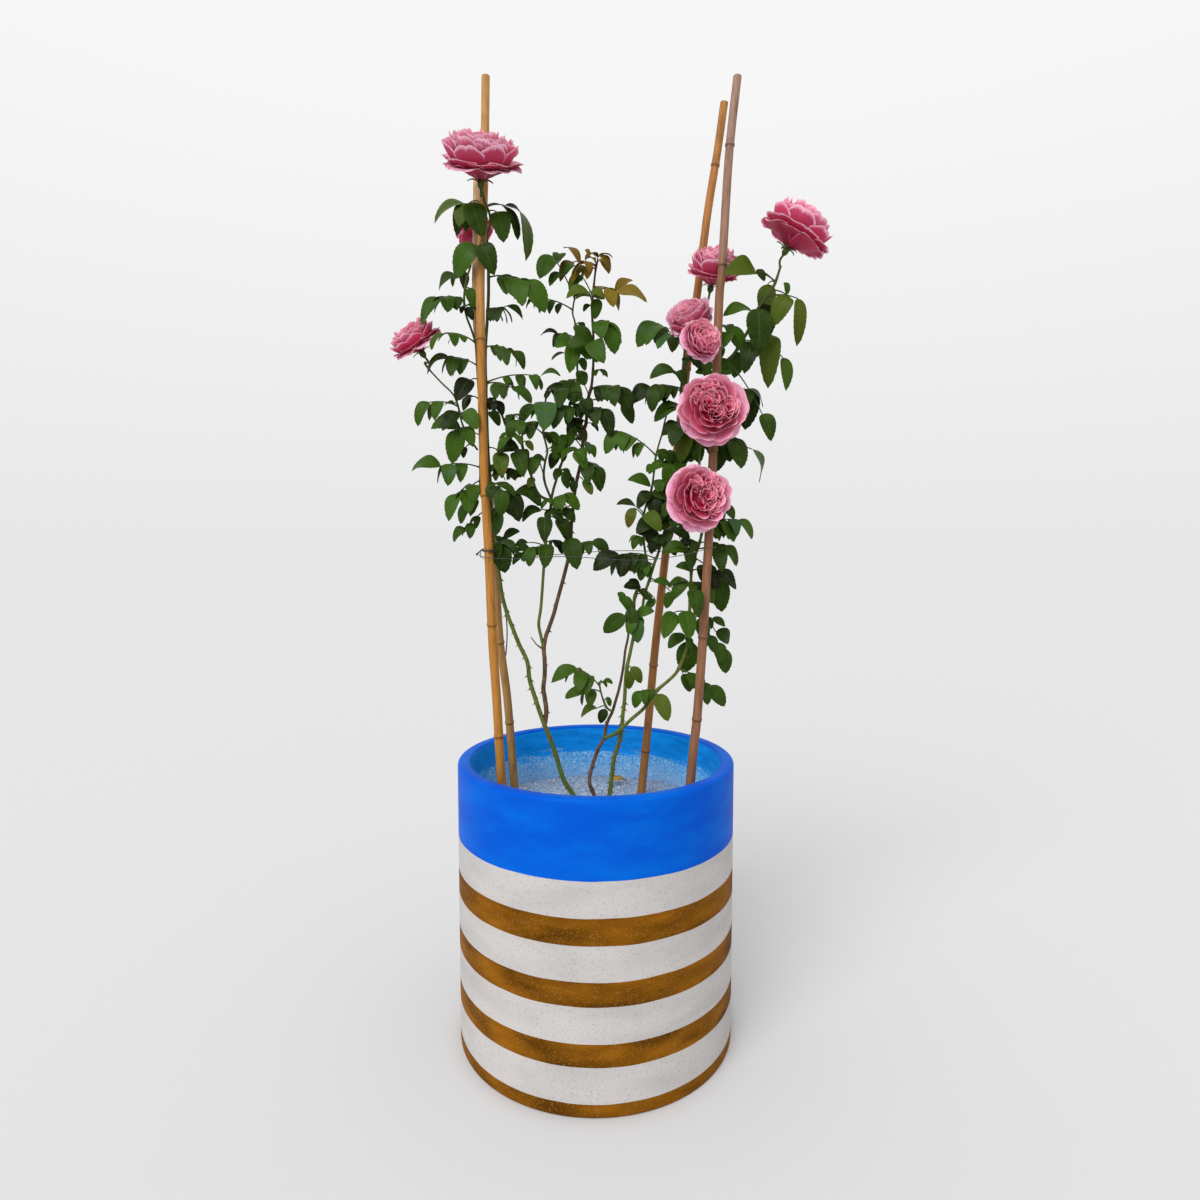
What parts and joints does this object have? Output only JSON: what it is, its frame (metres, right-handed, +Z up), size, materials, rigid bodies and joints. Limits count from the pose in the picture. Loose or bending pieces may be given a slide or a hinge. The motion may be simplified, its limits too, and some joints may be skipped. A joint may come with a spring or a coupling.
{
  "type": "climbing rose on bamboo canes in a pot",
  "caption": "Climbing rose with double pink blooms and toothed compound leaves, tied with wire to leaning bamboo canes in a straight-sided pot painted in horizontal bands.",
  "frame": {"origin": "on the ground, under the middle of the pot", "axes": "+Z up, -Y towards the front of the plant, +X to the right as seen from the front"},
  "size_m": [0.5756, 0.38, 1.2882],
  "materials": {
    "pot": "painted, satin",
    "soil": "matt, gritty",
    "cane_left_front": "satin",
    "cane_left_back": "satin",
    "cane_right_front": "weathered",
    "cane_right_back": "satin",
    "bark": "rough",
    "foliage": "satin",
    "young_foliage": "satin",
    "petals": "soft",
    "wire": "dull",
    "tie": "satin",
    "dry_leaf": "matt"
  },
  "bodies": {
    "root": {"pot": "pot", "soil": "soil", "cane_left_front": "cane_left_front", "cane_left_back": "cane_left_back", "cane_right_front": "cane_right_front", "cane_right_back": "cane_right_back", "left_climbing_stem": "foliage", "left_side_shoot": "foliage", "left_bloom_shoot": "foliage", "leaning_shoot": "foliage", "middle_brown_stem": "bark", "young_shoot": "young_foliage", "middle_left_shoot": "foliage", "middle_dark_shoot": "foliage", "right_brown_stem": "bark", "low_spray": "foliage", "right_green_branch": "foliage", "right_thorny_stem": "foliage", "right_climbing_shoot": "foliage", "right_inner_shoot": "foliage", "upper_right_shoot": "foliage", "bloom_top_left": "petals", "bloom_behind_cane": "petals", "bloom_left": "petals", "bloom_between_canes": "petals", "bloom_pair_upper": "petals", "bloom_pair_lower": "petals", "bloom_top_right": "petals", "bloom_front_upper": "petals", "bloom_front_lower": "petals", "wire_loop": "wire", "twist_tie": "tie", "tie_tail": "tie", "dry_leaf": "dry_leaf"}
  },
  "joints": []
}
